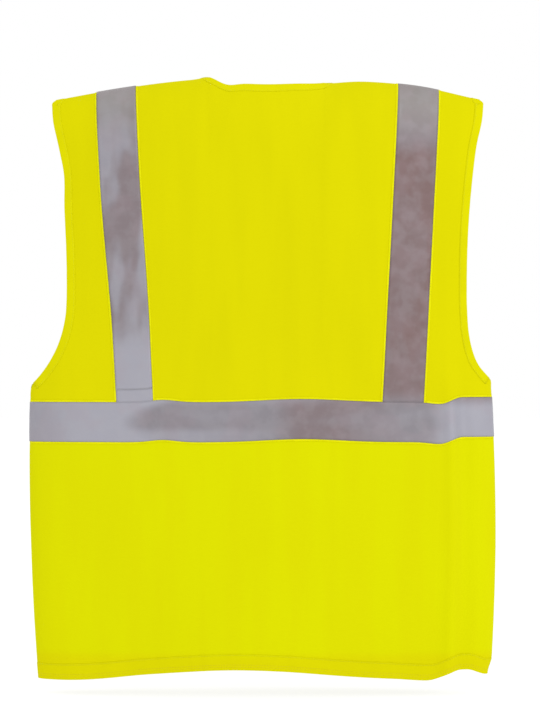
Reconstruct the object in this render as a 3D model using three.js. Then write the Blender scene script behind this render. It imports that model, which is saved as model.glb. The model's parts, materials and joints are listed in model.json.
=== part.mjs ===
// High visibility vest, upright as it hangs from a wearer's shoulders.
// Frame: millimetres, +Z up, the front faces -Y, the wearer's left is +X.
// The origin lies between the two neck points, at their height.
// Every cloth piece is a thin slab laid on one shared grid per panel, so that the layers of a
// seam, a tape or a binding keep the same facets and an even gap.

import * as THREE from "three";
import { mergeVertices } from "three/addons/utils/BufferGeometryUtils.js";

// Overall shape
const BODY_LENGTH = 760; // neck point to hem
const CHEST_HALF = 293; // half width at the underarm
const HEM_HALF = CHEST_HALF - 5; // half width at the hem
const SIDE_BULGE = 5.7; // how far the side seam swells between underarm and hem
const BACK_DEPTH_TOP = 42; // how far the back stands off the seam plane at the shoulders
const FRONT_DEPTH_TOP = 40;
const DEPTH_HEM = 50; // the same at the hem, front and back
const SHOULDER_ROUND = 110; // height over which the shoulders round over

// Neck and shoulders
const NECK_HALF = 75; // neck point, from the centre
const NECK_BACK_DROP = 10; // back neckline below the neck points
const NECK_RISE = 14; // virtual ridge over the neck, above the neck points
const TIP_HALF = CHEST_HALF - 19; // shoulder tip, from the centre
const SHOULDER_DROP = 28; // shoulder tip below the neck point
const SHOULDER_BEND = 1.4; // over 1 makes the shoulder line fall faster towards the tip

// Armholes
const UNDERARM_DROP = 391; // underarm below the neck point
const ARMHOLE_HALF = CHEST_HALF - 40; // narrowest half width, across the armholes
const ARMHOLE_NARROW_DROP = 250; // where that is, below the neck point
const ARMHOLE_FLARE = 3.3; // power of the curve out to the underarm

// Front opening
const V_DEPTH = 290; // neck point to the bottom of the V
const V_BEND = 1.1;
const LAP_HALF = 20; // each front crosses the centre line by this much
const FOLD_INSET = 13; // fold line inside the neck point, where it starts
const FOLD_START = 60; // how far below the neck point it starts
const FLAP_TOP = 120; // the opening part of a front starts this far down
const LIFT_FULL = 0.7; // share of the V's depth by which the left front has its full lift

// Tapes, bindings and trims
const TAPE_WIDTH = 50;
const TAPE_BELOW_UNDERARM = 21;
const BRACE_TOP = TIP_HALF - 56.5 - TAPE_WIDTH; // inner edge of a brace at the shoulder
const BRACE_WAIST = CHEST_HALF - 97.5 - TAPE_WIDTH; // the same at the waist tape
const FOLD_HEM = BRACE_WAIST - 5.5; // fold line from the centre, at the hem
const BINDING_WIDTH = 10;
const BINDING_STOP = 3.2; // an armhole binding ends this far above the underarm
const HEM_WIDTH = 20;
const SEAM_ALLOWANCE = 8;
const PATCH_WIDTH = 20; // hook and loop patches
const PATCH_LENGTH = 50;
const LABEL_WIDTH = 45;
const LABEL_LENGTH = 70;
const LABEL_DROP = 4; // top of the label below the middle of the back neckline

// Thicknesses and clearances
const CLOTH = 1.0;
const TAPE = 0.8;
const TRIM = 0.8; // bindings, hems and seam allowances
const PATCH = 1.5;
const LABEL = 0.6;
const GAP = 0.3; // between layers
const BUTT = 0.4; // between edges that face each other
const LAP_LIFT = CLOTH + 2 * PATCH + 3 * GAP; // the left front stands off the right one by this

const TAPE_TOP_Z = -(UNDERARM_DROP + TAPE_BELOW_UNDERARM);
const TAPE_BOTTOM_Z = TAPE_TOP_Z - TAPE_WIDTH;
const HEM_EDGE_Z = -BODY_LENGTH + TRIM + GAP; // lower edge of the cloth, inside the hem band
const HEM_TOP_Z = -BODY_LENGTH + HEM_WIDTH;
const V_BOTTOM_Z = -V_DEPTH;

const CLOTH_LOOK = { color: 0xe2e006, roughness: 0.8, metalness: 0 };
const TRIM_LOOK = { color: 0xd6d404, roughness: 0.8, metalness: 0 };
const TAPE_LOOK = { color: 0xa8a4a8, roughness: 0.45, metalness: 0.1 };
const PATCH_LOOK = { color: 0xc8ca14, roughness: 0.95, metalness: 0 };
const LABEL_LOOK = { color: 0xf0f0ec, roughness: 0.6, metalness: 0 };

const clamp = (v, lo, hi) => Math.min(hi, Math.max(lo, v));
const lerp = (a, b, t) => a + (b - a) * t;

function smooth(from, to, v) {
  const t = clamp((v - from) / (to - from), 0, 1);
  return t * t * (3 - 2 * t);
}

// ---- The surface that the cloth lies on ----

// Height of the ridge where front and back meet, over x. Inside the neck it is only virtual.
function ridge(x) {
  const a = Math.abs(x);
  if (a <= NECK_HALF) return NECK_RISE * (1 - (a / NECK_HALF) ** 2);
  return -SHOULDER_DROP * ((a - NECK_HALF) / (TIP_HALF - NECK_HALF)) ** SHOULDER_BEND;
}

function halfWidth(z) {
  const v = clamp((-z - UNDERARM_DROP) / (BODY_LENGTH - UNDERARM_DROP), 0, 1);
  return lerp(CHEST_HALF, HEM_HALF, v) + SIDE_BULGE * 4 * v * (1 - v);
}

function halfDepth(side, z) {
  const top = side > 0 ? BACK_DEPTH_TOP : FRONT_DEPTH_TOP;
  return lerp(top, DEPTH_HEM, clamp(-z / BODY_LENGTH, 0, 1));
}

// Point and outward normal at x, z. side is +1 for the back and -1 for the front.
function onSurface(side, x, z) {
  const width = halfWidth(z);
  const across = Math.max(0, 1 - (x / width) ** 2);
  const down = clamp((ridge(x) - z) / SHOULDER_ROUND, 0, 1);
  const round = 1 - (1 - down) ** 2;
  const depth = halfDepth(side, z);
  const y = Math.max(BUTT / 2, depth * Math.sqrt(round * across));
  const slope = ridge(x + 0.5) - ridge(x - 0.5);
  const rise = (across * (1 - down)) / SHOULDER_ROUND;
  const normal = new THREE.Vector3(
    (round * x) / width ** 2 - rise * slope,
    (side * y) / depth ** 2,
    rise,
  );
  return { p: new THREE.Vector3(x, side * y, z), n: normal.normalize() };
}

// ---- Outlines, each as x over z ----

function armholeX(z) {
  const top = ridge(TIP_HALF);
  const narrow = -ARMHOLE_NARROW_DROP;
  if (z > narrow) {
    const w = clamp((top - z) / (top - narrow), 0, 1);
    return lerp(TIP_HALF, ARMHOLE_HALF, 1 - (1 - w) ** 2);
  }
  const u = (narrow - z) / (narrow + UNDERARM_DROP);
  return lerp(ARMHOLE_HALF, CHEST_HALF, u ** ARMHOLE_FLARE);
}

function outerEdgeX(z) {
  return z > -UNDERARM_DROP ? armholeX(z) : halfWidth(z);
}

function openingEdgeX(z) {
  const v = clamp(-z / V_DEPTH, 0, 1);
  return NECK_HALF - (NECK_HALF + LAP_HALF) * v ** V_BEND;
}

function foldX(z) {
  const start = NECK_HALF - FOLD_INSET;
  const line = lerp(start, FOLD_HEM, (-z - FOLD_START) / (BODY_LENGTH - FOLD_START));
  return Math.max(line, openingEdgeX(z) + BINDING_WIDTH + FOLD_INSET);
}

function braceX(z) {
  return lerp(BRACE_TOP, BRACE_WAIST, clamp(z / TAPE_TOP_Z, 0, 1));
}

// The x that lies a given length of cloth inside the outer edge, along a level line.
function insetFromOuterEdge(side, z, distance) {
  const steps = 12;
  const width = halfWidth(z);
  const down = clamp((ridge(outerEdgeX(z)) - z) / SHOULDER_ROUND, 0, 1);
  const depth = halfDepth(side, z) * Math.sqrt(1 - (1 - down) ** 2);
  let angle = Math.asin(Math.min(1, outerEdgeX(z) / width));
  for (let k = 0; k < steps; k++) {
    angle -= distance / steps / Math.hypot(width * Math.cos(angle), depth * Math.sin(angle));
  }
  return width * Math.sin(angle);
}

// ---- Grid lines ----

// Lines from the outer edge of the brace to the armhole or side seam.
const SIDE_CELLS = 4;

function sideLineX(side, z, k) {
  const width = halfWidth(z);
  const from = Math.asin((braceX(z) + TAPE_WIDTH) / width);
  const to = Math.asin(insetFromOuterEdge(side, z, BINDING_WIDTH) / width);
  return width * Math.sin(lerp(from, to, k / SIDE_CELLS));
}

function sideLines(side) {
  const lines = [(z) => braceX(z), (z) => braceX(z) + TAPE_WIDTH];
  for (let k = 1; k <= SIDE_CELLS; k++) lines.push((z) => sideLineX(side, z, k));
  lines.push(outerEdgeX);
  return lines;
}

const NECK_CELLS = 4; // cells between the centre back and the neck point
const NECK_STRIP_HALF = NECK_HALF + BINDING_WIDTH;

function backHalfLines() {
  const lines = [];
  for (let k = 0; k <= NECK_CELLS; k++) {
    const x = NECK_STRIP_HALF * Math.sin((k / NECK_CELLS) * (Math.PI / 2));
    lines.push(() => x);
  }
  lines.push((z) => lerp(NECK_STRIP_HALF, braceX(z), 0.5));
  return lines.concat(sideLines(1));
}

const bindingLineX = (z) => openingEdgeX(z) + BINDING_WIDTH;

// A share of the way from the front edge binding to the fold, but no more than most.
function insideFoldX(z, most, share) {
  return bindingLineX(z) + Math.min(most, share * (foldX(z) - bindingLineX(z)));
}

function frontLines() {
  return [
    openingEdgeX,
    bindingLineX,
    (z) => insideFoldX(z, PATCH_WIDTH, 0.33),
    (z) => insideFoldX(z, PATCH_WIDTH + LAP_HALF, 0.66),
    (z) => foldX(z) - BUTT / 2,
    (z) => foldX(z) + BUTT / 2,
    (z) => lerp(foldX(z), braceX(z), 0.5),
    ...sideLines(-1),
  ];
}
const FRONT = { edge: 0, binding: 1, patch: 2, lap: 3, foldIn: 4, foldOut: 5, brace: 7 };

// Levels below the shoulder zone, from the top down.
const upperPatchTop = (V_BOTTOM_Z + TAPE_TOP_Z + PATCH_LENGTH) / 2;
const lowerPatchGap = (TAPE_BOTTOM_Z - HEM_TOP_Z - 2 * PATCH_LENGTH) / 3;
const PATCH_TOPS = {
  upper: upperPatchTop,
  middle: TAPE_BOTTOM_Z - lowerPatchGap,
  lower: TAPE_BOTTOM_Z - 2 * lowerPatchGap - PATCH_LENGTH,
};
const LONGEST_CELL = 62;
const UNDERARM_SHARES = [0.78, 0.9]; // extra levels where the armhole curves most

function levels() {
  const fixed = [
    -FLAP_TOP,
    -FLAP_TOP - BUTT,
    V_BOTTOM_Z,
    -UNDERARM_DROP + BINDING_STOP,
    -UNDERARM_DROP,
    TAPE_TOP_Z,
    TAPE_BOTTOM_Z,
    HEM_TOP_Z,
    HEM_EDGE_Z,
  ];
  for (const top of Object.values(PATCH_TOPS)) fixed.push(top, top - PATCH_LENGTH);
  for (const share of UNDERARM_SHARES) {
    fixed.push(lerp(-ARMHOLE_NARROW_DROP, -UNDERARM_DROP, share));
  }
  fixed.sort((a, b) => b - a);
  const all = [fixed[0]];
  for (const z of fixed.slice(1)) {
    const last = all[all.length - 1];
    const cells = Math.ceil((last - z) / LONGEST_CELL);
    for (let k = 1; k < cells; k++) all.push(lerp(last, z, k / cells));
    if (last - z > 0.01) all.push(z);
  }
  return all;
}

// Rows: 0 is the back neckline, 1 the shoulder line, then down to the hem.
const SHOULDER_CELLS = 5;
const LEVELS = levels();
const FLAT_ROW = SHOULDER_CELLS + 1; // the first level row
const ROW_COUNT = FLAT_ROW + LEVELS.length;

function rowAt(z) {
  const k = LEVELS.findIndex((level) => Math.abs(level - z) < 0.05);
  if (k < 0) throw new Error(`no grid row at ${z}`);
  return FLAT_ROW + k;
}

// Height of row 1 over x: the shoulder line, and under the neck binding the foot of its strip.
function firstRowZ(side, x) {
  if (side < 0 || Math.abs(x) >= NECK_STRIP_HALF) return ridge(x);
  const sine = x / NECK_STRIP_HALF;
  const centre = -NECK_BACK_DROP - BINDING_WIDTH;
  return lerp(centre, ridge(NECK_STRIP_HALF), sine * sine);
}

function rowPoint(side, line, row) {
  let x = line(0);
  if (row === 0) {
    const sine = clamp(x / NECK_STRIP_HALF, -1, 1);
    return onSurface(side, NECK_HALF * sine, -NECK_BACK_DROP * (1 - sine * sine));
  }
  if (row > FLAT_ROW) return onSurface(side, line(LEVELS[row - FLAT_ROW]), LEVELS[row - FLAT_ROW]);
  const share = 1 - Math.cos((((row - 1) / SHOULDER_CELLS) * Math.PI) / 2);
  let z = 0;
  for (let k = 0; k < 6; k++) {
    z = lerp(firstRowZ(side, x), -FLAP_TOP, share);
    x = line(z);
  }
  return onSurface(side, x, lerp(firstRowZ(side, x), -FLAP_TOP, share));
}

// ---- Grids: arrays of rows, each row an array of points with their normals ----

function mirrored(line) {
  return (z) => -line(z);
}

function backGrid() {
  const half = backHalfLines();
  const lines = half.slice(1).reverse().map(mirrored).concat(half);
  const rows = [];
  for (let row = 0; row < ROW_COUNT; row++) {
    rows.push(lines.map((line) => rowPoint(1, line, row)));
  }
  return rows;
}

// hand is +1 for the left front and -1 for the right one. The left front laps over the right.
function frontGrid(hand) {
  const lines = frontLines();
  const rows = [];
  for (let row = 0; row < ROW_COUNT; row++) {
    rows.push(
      lines.map((line, column) => {
        const node = rowPoint(-1, line, row);
        if (hand > 0) node.p.y -= lapLift(column, node.p.z);
        node.p.x *= hand;
        node.n.x *= hand;
        return node;
      }),
    );
  }
  return rows;
}

function lapLift(column, z) {
  if (column > FRONT.lap) return 0;
  return LAP_LIFT * smooth(FLAP_TOP, LIFT_FULL * V_DEPTH, -z);
}

// A grid node at whole or fractional row and column.
function at(grid, row, column) {
  const j = Math.min(Math.floor(row), grid.length - 2);
  const i = Math.min(Math.floor(column), grid[0].length - 2);
  const along = (r, key) =>
    new THREE.Vector3().lerpVectors(grid[r][i][key], grid[r][i + 1][key], column - i);
  const mix = (key) => along(j, key).lerp(along(j + 1, key), row - j);
  return { p: mix("p"), n: mix("n").normalize() };
}

// The fractional step from one grid node towards its neighbour that covers a distance.
function stepFor(grid, row, column, rowStep, columnStep, distance) {
  const here = at(grid, row, column).p;
  const next = at(grid, row + rowStep, column + columnStep).p;
  return distance / here.distanceTo(next);
}

function span(from, to) {
  const list = [from];
  for (let k = Math.floor(from) + 1; k < to; k++) list.push(k);
  list.push(to);
  return list;
}

// ---- Solids ----

// Two triangles, split along the diagonal from a to c.
function addQuad(faces, a, b, c, d) {
  faces.push([a, b, c], [a, c, d]);
}

// Layers on the same four grid nodes split along the same, shorter diagonal.
function shorter(a, c, b, d) {
  return a.distanceTo(c) < b.distanceTo(d);
}

function meshOf(name, vertices, faces, look) {
  let volume = 0;
  for (const [a, b, c] of faces) {
    const cross = new THREE.Vector3().crossVectors(vertices[b], vertices[c]);
    volume += vertices[a].dot(cross) / 6;
  }
  const order = volume < 0 ? [0, 2, 1] : [0, 1, 2];
  const geometry = new THREE.BufferGeometry();
  const index = faces.flatMap((face) => order.map((k) => face[k]));
  const position = vertices.flatMap((v) => [v.x, v.y, v.z]);
  geometry.setAttribute("position", new THREE.Float32BufferAttribute(position, 3));
  geometry.setIndex(index);
  const mesh = new THREE.Mesh(mergeVertices(geometry, 1e-4), new THREE.MeshStandardMaterial(look));
  mesh.name = name;
  return mesh;
}

// A slab over the kept cells of a grid, from one offset along the normals to another.
function slab(name, grid, low, high, look, keep = () => true) {
  const vertices = [];
  const faces = [];
  const ids = new Map();
  const vertex = (j, i, level) => {
    const key = `${j} ${i} ${level}`;
    if (!ids.has(key)) {
      ids.set(key, vertices.length);
      const { p, n } = grid[j][i];
      vertices.push(p.clone().addScaledVector(n, level === 0 ? low : high));
    }
    return ids.get(key);
  };
  const has = (j, i) =>
    j >= 0 && i >= 0 && j < grid.length - 1 && i < grid[0].length - 1 && keep(j, i);
  const wall = (j0, i0, j1, i1) =>
    addQuad(faces, vertex(j0, i0, 0), vertex(j1, i1, 0), vertex(j1, i1, 1), vertex(j0, i0, 1));
  for (let j = 0; j < grid.length - 1; j++) {
    for (let i = 0; i < grid[0].length - 1; i++) {
      if (!has(j, i)) continue;
      const corners = [[j, i], [j, i + 1], [j + 1, i + 1], [j + 1, i]];
      const [a, b, c, d] = corners.map(([row, column]) => grid[row][column].p);
      const turn = shorter(a, c, b, d) ? 0 : 1;
      const order = [0, 1, 2, 3].map((k) => corners[(k + turn) % 4]);
      const top = order.map(([row, column]) => vertex(row, column, 1));
      const under = order.map(([row, column]) => vertex(row, column, 0));
      addQuad(faces, ...top);
      addQuad(faces, under[0], under[3], under[2], under[1]);
      if (!has(j - 1, i)) wall(j, i, j, i + 1);
      if (!has(j, i + 1)) wall(j, i + 1, j + 1, i + 1);
      if (!has(j + 1, i)) wall(j + 1, i + 1, j + 1, i);
      if (!has(j, i - 1)) wall(j + 1, i, j, i);
    }
  }
  return meshOf(name, vertices, faces, look);
}

// The part of a grid between two rows and two columns, which may be fractional.
function patch(grid, row0, row1, column0, column1) {
  return span(row0, row1).map((row) => span(column0, column1).map((column) => at(grid, row, column)));
}

// A folded strip around a raw edge: two legs on the cloth and a web past its edge.
function foldedSection(foot, edge) {
  const out = new THREE.Vector3().subVectors(edge.p, foot.p).normalize();
  const near = CLOTH + GAP;
  const place = (node, past, height) =>
    node.p.clone().addScaledVector(out, past).addScaledVector(node.n, height);
  return [
    place(foot, 0, near + TRIM),
    place(foot, 0, near),
    place(edge, GAP, near),
    place(edge, GAP, -GAP),
    place(foot, 0, -GAP),
    place(foot, 0, -GAP - TRIM),
    place(edge, GAP + TRIM, -GAP - TRIM),
    place(edge, GAP + TRIM, near + TRIM),
  ];
}

function foldedStrip(name, stations, look) {
  const sections = stations.map(([foot, edge]) => foldedSection(foot, edge));
  const count = sections[0].length;
  const vertices = sections.flat();
  const faces = [];
  for (let s = 0; s < sections.length - 1; s++) {
    const [foot, edge] = stations[s];
    const [nextFoot, nextEdge] = stations[s + 1];
    const fromFoot = shorter(foot.p, nextEdge.p, edge.p, nextFoot.p);
    for (let k = 0; k < count; k++) {
      const here = [s * count + k, s * count + ((k + 1) % count)];
      const there = here.map((id) => id + count);
      if ((k % 4 === 1) === fromFoot) addQuad(faces, here[0], here[1], there[1], there[0]);
      else addQuad(faces, here[1], there[1], there[0], here[0]);
    }
  }
  const last = (sections.length - 1) * count;
  for (const [a, b, c, d] of [[0, 1, 2, 7], [7, 2, 3, 6], [3, 4, 5, 6]]) {
    addQuad(faces, a, d, c, b);
    addQuad(faces, last + a, last + b, last + c, last + d);
  }
  return meshOf(name, vertices, faces, look);
}

// ---- Grids and their named rows and columns ----

const BACK = backGrid();
const BACK_LAST = BACK[0].length - 1;
const BACK_CENTRE = BACK_LAST / 2;
const BACK_BRACE = BACK_CENTRE + NECK_CELLS + 2;
const FRONTS = { left: frontGrid(1), right: frontGrid(-1) };
const FRONT_LAST = FRONTS.left[0].length - 1;
const BOTTOM_ROW = ROW_COUNT - 1;
const HEM_ROW = rowAt(HEM_TOP_Z);
const FLAP_ROW = rowAt(-FLAP_TOP - BUTT);
const UNDERARM_ROW = rowAt(-UNDERARM_DROP);
const TAPE_ROWS = [rowAt(TAPE_TOP_Z), rowAt(TAPE_BOTTOM_Z)];
const ON_TOP = [CLOTH + GAP, CLOTH + GAP + TAPE];
const INSIDE = [-GAP - TRIM, -GAP];
const SIDES = ["left", "right"];

// Grid columns of the back, counted from the centre towards the wearer's left or right.
function backColumn(side, fromCentre) {
  return side === "left" ? BACK_CENTRE + fromCentre : BACK_CENTRE - fromCentre;
}

// ---- Cloth ----

function backPanel() {
  const neck = [BACK_CENTRE - NECK_CELLS, BACK_CENTRE + NECK_CELLS];
  const keep = (j, i) => j > 0 || (i >= neck[0] && i < neck[1]);
  return slab("back_panel", BACK, 0, CLOTH, CLOTH_LOOK, keep);
}

function frontSidePanel(side) {
  const keep = (j, i) => j > 0 && (i >= FRONT.foldOut || j < FLAP_ROW - 1);
  return slab(`front_${side}_side_panel`, FRONTS[side], 0, CLOTH, CLOTH_LOOK, keep);
}

function frontFlap(side) {
  const cells = patch(FRONTS[side], FLAP_ROW, BOTTOM_ROW, FRONT.edge, FRONT.foldIn);
  return slab(`front_${side}_flap`, cells, 0, CLOTH, CLOTH_LOOK);
}

// ---- Reflective tape ----

function backWaistTape() {
  const cells = patch(BACK, ...TAPE_ROWS, 0, BACK_LAST);
  return slab("back_waist_tape", cells, ...ON_TOP, TAPE_LOOK);
}

function frontWaistTapeSide(side) {
  const cells = patch(FRONTS[side], ...TAPE_ROWS, FRONT.foldOut, FRONT_LAST);
  return slab(`front_${side}_waist_tape_side`, cells, ...ON_TOP, TAPE_LOOK);
}

function frontWaistTapeEnd(side) {
  const grid = FRONTS[side];
  const start = FRONT.binding + stepFor(grid, TAPE_ROWS[0], FRONT.binding, 0, 1, BUTT);
  const cells = patch(grid, ...TAPE_ROWS, start, FRONT.foldIn);
  return slab(`front_${side}_waist_tape_end`, cells, ...ON_TOP, TAPE_LOOK);
}

function brace(name, grid, column) {
  const end = TAPE_ROWS[0] - stepFor(grid, TAPE_ROWS[0], column, -1, 0, BUTT);
  return slab(name, patch(grid, 1, end, column, column + 1), ...ON_TOP, TAPE_LOOK);
}

// ---- Bindings, hems and seams ----

function armholeBinding(side) {
  const front = FRONTS[side];
  const back = backColumn(side, BACK_CENTRE);
  const backFoot = backColumn(side, BACK_CENTRE - 1);
  const rows = span(1, rowAt(-UNDERARM_DROP + BINDING_STOP));
  const stations = rows
    .slice()
    .reverse()
    .map((row) => [at(front, row, FRONT_LAST - 1), at(front, row, FRONT_LAST)])
    .concat(rows.map((row) => [at(BACK, row, backFoot), at(BACK, row, back)]));
  return foldedStrip(`${side}_armhole_binding`, stations, TRIM_LOOK);
}

function neckBinding() {
  const rows = span(1, FLAP_ROW - 1);
  const station = (grid) => (row) => [at(grid, row, FRONT.binding), at(grid, row, FRONT.edge)];
  const columns = span(BACK_CENTRE - NECK_CELLS, BACK_CENTRE + NECK_CELLS);
  const stations = [
    ...rows.slice().reverse().map(station(FRONTS.right)),
    ...columns.map((column) => [at(BACK, 1, column), at(BACK, 0, column)]),
    ...rows.map(station(FRONTS.left)),
  ];
  return foldedStrip("neck_binding", stations, TRIM_LOOK);
}

function frontEdgeBinding(side) {
  const grid = FRONTS[side];
  const end = HEM_ROW - stepFor(grid, HEM_ROW, FRONT.edge, -1, 0, BUTT);
  const stations = span(FLAP_ROW, end).map((row) => [
    at(grid, row, FRONT.binding),
    at(grid, row, FRONT.edge),
  ]);
  return foldedStrip(`front_${side}_edge_binding`, stations, TRIM_LOOK);
}

function hem(name, grid, column0, column1) {
  const stations = span(column0, column1).map((column) => [
    at(grid, HEM_ROW, column),
    at(grid, BOTTOM_ROW, column),
  ]);
  return foldedStrip(name, stations, TRIM_LOOK);
}

// The inner allowance that joins front and back under a side seam.
function sideSeam(side) {
  const front = FRONTS[side];
  const backEdge = backColumn(side, BACK_CENTRE);
  const inwards = side === "left" ? -1 : 1;
  const top = UNDERARM_ROW + stepFor(BACK, UNDERARM_ROW, backEdge, 1, 0, 5 * BUTT);
  const bottom = HEM_ROW - stepFor(BACK, HEM_ROW, backEdge, -1, 0, BUTT);
  const share = 0.5 * SEAM_ALLOWANCE / BINDING_WIDTH;
  const rows = span(top, bottom).map((row) => [
    at(BACK, row, backEdge + inwards * share),
    at(BACK, row, backEdge),
    at(front, row, FRONT_LAST),
    at(front, row, FRONT_LAST - share),
  ]);
  return slab(`${side}_side_seam`, rows, ...INSIDE, TRIM_LOOK);
}

// The column of a grid row where x has a given size.
function columnAt(grid, row, x, from, to) {
  const step = Math.sign(to - from);
  for (let i = from; i !== to; i += step) {
    const a = Math.abs(grid[row][i].p.x);
    const b = Math.abs(grid[row][i + step].p.x);
    if (x >= a - 1e-6 && x <= b + 1e-6) return i + (step * (x - a)) / (b - a);
  }
  throw new Error(`no grid column at ${x}`);
}

function shoulderSeam(side) {
  const front = FRONTS[side];
  const backEdge = backColumn(side, BACK_CENTRE);
  const from = NECK_STRIP_HALF + BUTT;
  const to = Math.abs(at(BACK, 1, backColumn(side, BACK_CENTRE - 1)).p.x) - BUTT;
  const share = 0.5 * SEAM_ALLOWANCE / Math.abs(BACK[2][BACK_CENTRE + NECK_CELLS].p.y);
  const cells = 8;
  const rows = [];
  for (let k = 0; k <= cells; k++) {
    const x = lerp(from, to, k / cells);
    const back = columnAt(BACK, 1, x, BACK_CENTRE, backEdge);
    const ahead = columnAt(front, 1, x, 0, FRONT_LAST);
    rows.push([
      at(BACK, 1 + share, back),
      at(BACK, 1, back),
      at(front, 1, ahead),
      at(front, 1 + share, ahead),
    ]);
  }
  return slab(`${side}_shoulder_seam`, rows, ...INSIDE, TRIM_LOOK);
}

// ---- Closure and label ----

function closurePatch(name, grid, top, low, high) {
  const rows = [rowAt(top), rowAt(top - PATCH_LENGTH)];
  const start = FRONT.binding + stepFor(grid, rows[0], FRONT.binding, 0, 1, BUTT);
  const cells = patch(grid, ...rows, start, FRONT.patch);
  return slab(name, cells, low, high, PATCH_LOOK);
}

function careLabel() {
  const edge = at(BACK, 0, BACK_CENTRE).p;
  const mesh = new THREE.Mesh(
    new THREE.BoxGeometry(LABEL_WIDTH, LABEL, LABEL_LENGTH),
    new THREE.MeshStandardMaterial(LABEL_LOOK),
  );
  mesh.name = "care_label";
  const inside = TRIM + GAP + LABEL / 2;
  mesh.position.set(0, edge.y - inside, edge.z - LABEL_DROP - LABEL_LENGTH / 2);
  return mesh;
}

const vest = new THREE.Group();
vest.add(backPanel(), backWaistTape(), neckBinding(), careLabel());
vest.add(hem("back_hem", BACK, 0, BACK_LAST));
vest.add(brace("back_left_brace", BACK, BACK_BRACE));
vest.add(brace("back_right_brace", BACK, BACK_LAST - BACK_BRACE - 1));
for (const side of SIDES) {
  const grid = FRONTS[side];
  vest.add(frontSidePanel(side), frontFlap(side));
  vest.add(frontWaistTapeSide(side), frontWaistTapeEnd(side));
  vest.add(brace(`front_${side}_brace`, grid, FRONT.brace));
  vest.add(armholeBinding(side), frontEdgeBinding(side));
  vest.add(hem(`front_${side}_hem_side`, grid, FRONT.foldOut, FRONT_LAST));
  vest.add(hem(`front_${side}_hem_end`, grid, FRONT.edge, FRONT.foldIn));
  vest.add(sideSeam(side), shoulderSeam(side));
}
for (const [place, top] of Object.entries(PATCH_TOPS)) {
  vest.add(closurePatch(`hook_patch_${place}`, FRONTS.left, top, -GAP - PATCH, -GAP));
  const outside = CLOTH + GAP;
  vest.add(closurePatch(`loop_patch_${place}`, FRONTS.right, top, outside, outside + PATCH));
}

export default vest;
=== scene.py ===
"""High visibility vest: cloth, tape, bindings, stitches and closure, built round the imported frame.

Metres, +Z up, the front faces -Y and the wearer's left is +X. Every piece lies on one skin, a
surface of two parameters: turn, the angle round a flattened barrel, and drop, the angle over the
shoulder that goes on as a length below it, counted up on the back and down on the front. Offsets
along the skin's normal keep the layers apart.
"""

import json
import math

import bpy
import numpy as np
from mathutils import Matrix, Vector


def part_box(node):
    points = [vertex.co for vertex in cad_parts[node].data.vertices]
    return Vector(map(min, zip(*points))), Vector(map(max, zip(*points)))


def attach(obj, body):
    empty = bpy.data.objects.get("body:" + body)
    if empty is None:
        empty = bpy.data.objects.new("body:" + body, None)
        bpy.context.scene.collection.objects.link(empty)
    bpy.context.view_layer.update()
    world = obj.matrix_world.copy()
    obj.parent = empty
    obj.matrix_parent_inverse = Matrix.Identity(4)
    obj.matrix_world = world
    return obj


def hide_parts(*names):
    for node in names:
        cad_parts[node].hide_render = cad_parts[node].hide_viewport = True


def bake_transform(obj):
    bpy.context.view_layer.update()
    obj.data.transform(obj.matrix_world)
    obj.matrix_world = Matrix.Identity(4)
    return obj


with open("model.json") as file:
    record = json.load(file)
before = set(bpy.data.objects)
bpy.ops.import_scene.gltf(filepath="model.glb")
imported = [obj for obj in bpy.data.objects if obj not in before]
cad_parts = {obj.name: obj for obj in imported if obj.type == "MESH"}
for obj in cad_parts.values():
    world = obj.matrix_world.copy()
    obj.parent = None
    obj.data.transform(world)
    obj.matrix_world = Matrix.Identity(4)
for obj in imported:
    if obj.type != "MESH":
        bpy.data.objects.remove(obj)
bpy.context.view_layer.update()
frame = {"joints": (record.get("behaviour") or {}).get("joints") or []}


def box(node):
    """Lowest and highest corner of a CAD node, as arrays."""
    low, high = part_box(node)
    return np.array(low), np.array(high)


# ---- Sizes, from the frame where it holds them ----

HEM_Z = box("back_hem")[0][2]
HEM_TOP = box("back_hem")[1][2]
HEM_EDGE = HEM_Z + 0.0012  # lower edge of the cloth, inside the turned hem
HEM_WIDTH = HEM_TOP - HEM_Z
LENGTH = -HEM_Z
TAPE_LOW, TAPE_TOP = box("back_waist_tape")[0][2], box("back_waist_tape")[1][2]
TAPE_WIDTH = TAPE_TOP - TAPE_LOW
UNDERARM = box("left_side_seam")[1][2] + 0.002
CHEST_HALF = 0.293  # half width at the underarm
HEM_HALF = CHEST_HALF - 0.005
SIDE_BULGE = 0.0057  # how far the side seam swells between underarm and hem
TIP_HALF = CHEST_HALF - 0.019  # shoulder tip, from the centre
TIP_ROUND = 0.005
ARMHOLE_HALF = CHEST_HALF - 0.040
ARMHOLE_NARROW = -0.250  # where the armholes come closest together
ARMHOLE_FLARE = 3.3  # power of the curve out to the underarm
NECK_HALF = 0.075
NECK_DROP = 0.010
NECK_RISE = 0.014  # ridge over the neck, above the neck points
SHOULDER_DROP = 0.028
SHOULDER_BEND = 1.4
ROUND = 0.110  # height over which the shoulders round off
DEPTH_TOP_BACK = 0.042  # how far the back stands off the plane of the seams at the shoulders
DEPTH_TOP_FRONT = 0.040
DEPTH_HEM = 0.050
DEPTH_MIDDLE = 0.046
LAP = -box("front_left_flap")[0][0]  # each front passes the centre line by this
V_BOTTOM = -0.290
V_BEND = 1.1
LAP_LIFT = 0.0049  # the left front stands off the right one by this
LAP_FULL = 0.030  # from this x inwards, and none at the fold line
BRACE_TOP = TIP_HALF - 0.0565 - TAPE_WIDTH  # inner edge of a brace at the shoulder
BRACE_WAIST = box("back_left_brace")[0][0]
BAND = 0.010  # width of the bindings
EDGING = 0.0026  # width of the margin that a tape is stitched through
ALLOWANCE = 0.008  # width of the seam allowances
PATCH_HALF = 0.010  # half width of the hook and loop patches
NEAR = 0.0004  # between edges that face each other
LAP_RISE = 0.0155  # from the waist tape up to the left brace, on the back
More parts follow.
